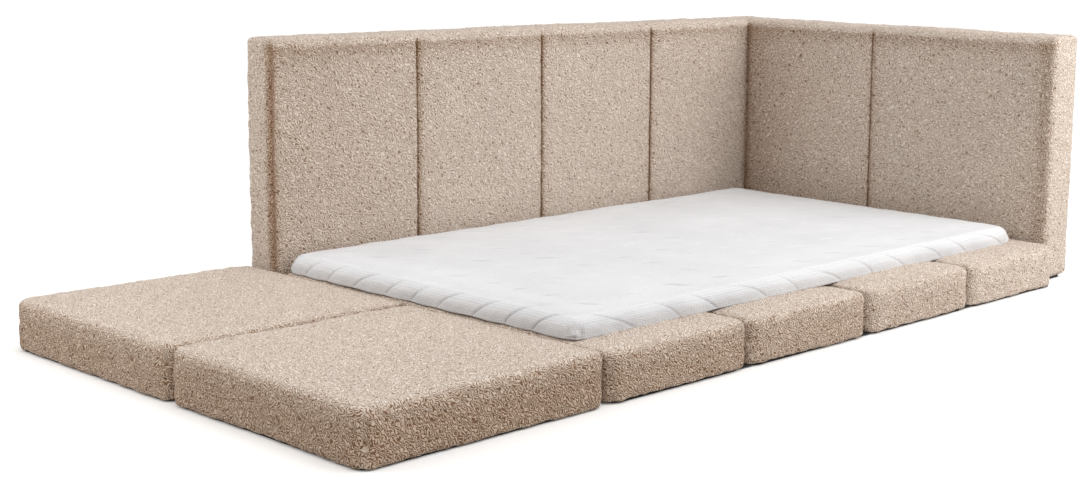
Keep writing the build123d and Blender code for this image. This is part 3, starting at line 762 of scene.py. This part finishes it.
mattress_low, mattress_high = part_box("mattress_cover")
MATTRESS_CELL, MATTRESS_ROW, MATTRESS_REACH, MATTRESS_END_ROOM = 0.018, 0.008, 0.005, 0.002
MATTRESS_CORNER, MATTRESS_FOOT_EDGE, MATTRESS_TOP_EDGE, MATTRESS_FOOT_DROP = 0.046, 0.006, 0.036, 0.002
half_x = (mattress_high.x - mattress_low.x) / 2
half_y = (mattress_high.y - mattress_low.y) / 2 - MATTRESS_REACH * CUT_BACK
foot, top = mattress_low.z - MATTRESS_FOOT_DROP, mattress_high.z - MATTRESS_REACH * CUT_BACK
heights, insets = edge_profile(foot, top, MATTRESS_FOOT_EDGE, MATTRESS_TOP_EDGE, MATTRESS_ROW)
count_x, count_y = round(2 * half_x / MATTRESS_CELL), round(2 * half_y / MATTRESS_CELL)
i, j, k, quads = box_lattice(count_x, count_y, len(heights) - 1)
x, y = -half_x + 2 * half_x * i / count_x, -half_y + 2 * half_y * j / count_y
x, y = round_in_plan(x, y, half_x, half_y, insets[k], MATTRESS_CORNER)
middle = (mattress_low + mattress_high) / 2
middle.x -= MATTRESS_END_ROOM
points = np.stack([x + middle.x, y + middle.y, heights[k]], 1)
mattress = make_piece("mattress", points, quads, knit_paint(), np.zeros(len(points)))

# The pads' covers are blown up together, then the mattress's.
puff(pads, PAD_REACH)
puff([mattress], MATTRESS_REACH)
for number, (piece, (node, name, body, *shape)) in enumerate(zip(pads, PADS)):
    finish_pad(piece, node, body, 10.0 + 3 * number)

joint_strip("near", pads[4], pads[0])
joint_strip("far", pads[5], pads[0])

# The quilting: furrows over the edges, tucks on the top, a pucker at each corner, a slot for the zip.
FURROW_ALONG, FURROW_ACROSS, FURROW_HALF, FURROW_DEPTH = 0.170, 0.120, 0.0032, 0.0034
TUCK_HALF, TUCK_WIDTH, TUCK_DEPTH = 0.026, 0.008, 0.0045
SWAY, SWAY_LENGTH, FRONT_SHARE = 0.10, 0.41, 0.60
PUCKER_RISE, PINCH_DEPTH, PILLOW_DEPTH = 0.010, 0.005, 0.0026
SLOT_FLOOR, SLOT_HALF, SLOT_ENDS = 0.0004, 0.0135, 0.003
refine(mattress)
refine(mattress)
points = read_points(mattress.data)
normals = read_points(mattress.data, "normal")
x, y = points[:, 0] - middle.x, points[:, 1] - middle.y
below = np.clip(top - points[:, 2], 0, None)
sway = SWAY * np.sin(2 * math.pi * (x - y) / SWAY_LENGTH)
place = x / FURROW_ALONG + y / FURROW_ACROSS - below / FURROW_ACROSS + sway
aside = (place - np.round(place)) / math.hypot(1 / FURROW_ALONG, 1 / FURROW_ACROSS)
inward = np.minimum(half_x - abs(x), half_y - abs(y))
edge_share = np.clip(1 - (inward - 0.02) / 0.11, 0, 1) ** 1.5
edge_share = edge_share * np.where(half_y + y < half_x + x, FRONT_SHARE, 1.0)
from_node = (x / FURROW_ALONG - np.round(x / FURROW_ALONG)) * math.hypot(FURROW_ALONG, FURROW_ACROSS)
tucks = np.exp(-((from_node / TUCK_HALF) ** 2) - (aside / TUCK_WIDTH) ** 2)
tucks = tucks * np.clip(1 - below / 0.004, 0, 1)
strength = edge_share * np.clip((points[:, 2] - foot) / 0.012, 0, 1)
furrow = np.exp(-((aside / FURROW_HALF) ** 2)) * strength
pillow = (1 - np.abs(aside) / np.abs(aside).max()) * edge_share
corner_away = np.hypot(half_x - abs(x), half_y - abs(y))
pucker = 1.3 * np.exp(-(((corner_away - 0.012) / 0.015) ** 2)) * np.exp(-(((below - 0.043) / 0.012) ** 2))
pinch = np.exp(-(((corner_away - 0.032) / 0.007) ** 2)) * np.exp(-(((below - 0.040) / 0.014) ** 2))
push = PUCKER_RISE * pucker - PINCH_DEPTH * pinch
push = push - FURROW_DEPTH * furrow - PILLOW_DEPTH * pillow - TUCK_DEPTH * tucks
points += normals * push[:, None]
points[:, 0] = np.maximum(points[:, 0], mattress_low.x - 0.003)
zip_from, zip_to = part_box("mattress_zip")
by_zip = (points[:, 0] > zip_from.x - 0.012) & (abs(points[:, 2] - (zip_from.z + zip_to.z) / 2) < SLOT_HALF)
by_zip &= (points[:, 1] > zip_from.y - SLOT_ENDS) & (points[:, 1] < zip_to.y + SLOT_ENDS)
points[by_zip, 0] = np.minimum(points[by_zip, 0], zip_from.x - SLOT_FLOOR)
points[:, 2] = np.maximum(points[:, 2], foot)
set_points(mattress.data, points)
# Painted shade: the knit is darkened low on its front side, in the furrows and in the tucks.
shaded = 0.26 * np.clip(1 - (half_y + y) / 0.04, 0, 1) * np.clip(below / 0.015, 0, 1)
quilt_shade = 0.5 * furrow + 0.6 * tucks + shaded
mattress.data.attributes["seams_and_shade"].data.foreach_set("value", quilt_shade.astype(np.float32))
mattress.data.update()
ruffle(mattress, (0.25, 0.0020, 4.4), (0.07, 0.0010, 9.2), calm=by_zip.astype(float))
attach(mattress, "mattress")
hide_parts("mattress_cover", "mattress_core")


# The zips along the backs of the walls and the end of the mattress: beige woven tape with a closed coil, and
# a small nickel slider on each.
def tape_paint():
    """Woven zip tape, herringbone fine."""
    paint = Paint("beige_zip_tape")
    weave = paint.node("ShaderNodeTexWave", {"Vector": paint.place, "Scale": 220.0, "Distortion": 0.8})
    colour = paint.ramp(weave.outputs["Fac"], (0.2, linear(150, 134, 116)), (0.8, linear(178, 162, 143)))
    paint.shader.inputs["Roughness"].default_value = 0.75
    return paint.finish(colour, paint.relief(weave.outputs["Fac"], 0.0004))


def nickel_paint():
    """Satin nickel, faintly scratched."""
    paint = Paint("satin_nickel")
    scratch = paint.grain(900.0, 4.0, 0.7)
    rough = paint.node("ShaderNodeMapRange", {0: scratch, 3: 0.22, 4: 0.42}).outputs[0]
    colour = paint.ramp(scratch, (0.3, linear(186, 184, 180)), (0.7, linear(206, 204, 200)))
    paint.shader.inputs["Metallic"].default_value = 1.0
    return paint.finish(colour, paint.relief(scratch, 0.0001), rough)


TAPE_THICKNESS, TAPE_BEVEL, TAPE_STEP, COIL_PITCH, COIL_WIDTH = 0.001, 0.0004, 0.04, 0.0028, 0.006


def coil_tree():
    """Lays a closed coil along a tape's middle: one short round bar after another, from start to end."""
    tree = bpy.data.node_groups.new("closed_coil", "GeometryNodeTree")
    sockets = tree.interface
    sockets.new_socket("Tape", in_out="INPUT", socket_type="NodeSocketGeometry")
    for name in ("Coil start", "Coil end"):
        sockets.new_socket(name, in_out="INPUT", socket_type="NodeSocketVector")
    for name in ("Coil pitch", "Coil width", "Coil radius"):
        sockets.new_socket(name, in_out="INPUT", socket_type="NodeSocketFloat")
    sockets.new_socket("Finish", in_out="INPUT", socket_type="NodeSocketMaterial")
    sockets.new_socket("Zip", in_out="OUTPUT", socket_type="NodeSocketGeometry")
    given, made = tree.nodes.new("NodeGroupInput"), tree.nodes.new("NodeGroupOutput")
    line = tree.nodes.new("GeometryNodeCurvePrimitiveLine")
    places = tree.nodes.new("GeometryNodeResampleCurve")
    places.mode = "LENGTH"
    turn = tree.nodes.new("GeometryNodeMeshCylinder")
    turn.inputs["Vertices"].default_value = 6
    coil = tree.nodes.new("GeometryNodeInstanceOnPoints")
    whole = tree.nodes.new("GeometryNodeJoinGeometry")
    real = tree.nodes.new("GeometryNodeRealizeInstances")
    coat = tree.nodes.new("GeometryNodeSetMaterial")
    for start, end in (
        (given.outputs["Coil start"], line.inputs["Start"]),
        (given.outputs["Coil end"], line.inputs["End"]),
        (line.outputs["Curve"], places.inputs["Curve"]),
        (given.outputs["Coil pitch"], places.inputs["Length"]),
        (given.outputs["Coil radius"], turn.inputs["Radius"]),
        (given.outputs["Coil width"], turn.inputs["Depth"]),
        (places.outputs["Curve"], coil.inputs["Points"]),
        (turn.outputs["Mesh"], coil.inputs["Instance"]),
        (given.outputs["Tape"], whole.inputs["Geometry"]),
        (coil.outputs["Instances"], whole.inputs["Geometry"]),
        (whole.outputs["Geometry"], real.inputs["Geometry"]),
        (real.outputs["Geometry"], coat.inputs["Geometry"]),
        (given.outputs["Finish"], coat.inputs["Material"]),
        (coat.outputs["Geometry"], made.inputs["Zip"]),
    ):
        tree.links.new(start, end)
    return tree


def make_zip(node, along, body, tree, finish):
    """A closed zip in the place of its CAD node: a bevelled tape with the coil on it."""
    low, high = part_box(node)
    out = 1 - along
    steps = round((high[along] - low[along]) / TAPE_STEP)
    half, middle_z = (high.z - low.z) / 2, (high.z + low.z) / 2
    outline = [(-half, 0), (-half, TAPE_THICKNESS - TAPE_BEVEL), (-half + TAPE_BEVEL, TAPE_THICKNESS)]
    outline += [(-z, rise) for z, rise in reversed(outline)]
    points = []
    for step in range(steps + 1):
        for z, rise in outline:
            place = [0.0, 0.0, middle_z + z]
            place[along] = low[along] + (high[along] - low[along]) * step / steps
            place[out] = low[out] + rise
            points.append(place)
    count = len(outline)
    faces = []
    for step in range(steps):
        here, after = step * count, (step + 1) * count
        for a in range(count):
            b = (a + 1) % count
            faces.append([here + a, here + b, after + b, after + a])
    faces += [list(range(count)), [steps * count + a for a in reversed(range(count))]]
    mesh = bpy.data.meshes.new(node)
    mesh.from_pydata(points, [], faces)
    shell = bmesh.new()
    shell.from_mesh(mesh)
    bmesh.ops.recalc_face_normals(shell, faces=shell.faces)
    shell.to_mesh(mesh)
    shell.free()
    piece = bpy.data.objects.new(node + "_closed", mesh)
    scene.collection.objects.link(piece)
    radius = (high[out] - low[out] - TAPE_THICKNESS) / 2
    start, end = [0.0, 0.0, middle_z], [0.0, 0.0, middle_z]
    start[out] = end[out] = low[out] + TAPE_THICKNESS + radius
    start[along], end[along] = low[along] + COIL_PITCH, high[along] - COIL_PITCH
    coil = piece.modifiers.new("coil", "NODES")
    coil.node_group = tree
    values = {
        "Coil start": start,
        "Coil end": end,
        "Coil pitch": COIL_PITCH,
        "Coil width": COIL_WIDTH,
        "Coil radius": radius,
        "Finish": finish,
    }
    for socket in tree.interface.items_tree:
        if socket.name in values:
            coil[socket.identifier] = values[socket.name]
    piece.data.update()
    graph = bpy.context.evaluated_depsgraph_get()
    piece.data = bpy.data.meshes.new_from_object(piece.evaluated_get(graph))
    piece.modifiers.clear()
    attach(piece, body)
    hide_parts(node)


zip_tree, zip_finish = coil_tree(), tape_paint()
make_zip("long_wall_zip", 0, "base_and_walls", zip_tree, zip_finish)
make_zip("short_wall_zip", 1, "base_and_walls", zip_tree, zip_finish)
make_zip("mattress_zip", 1, "mattress", zip_tree, zip_finish)
dress(nickel_paint(), "slider_steel", "zip_slider")
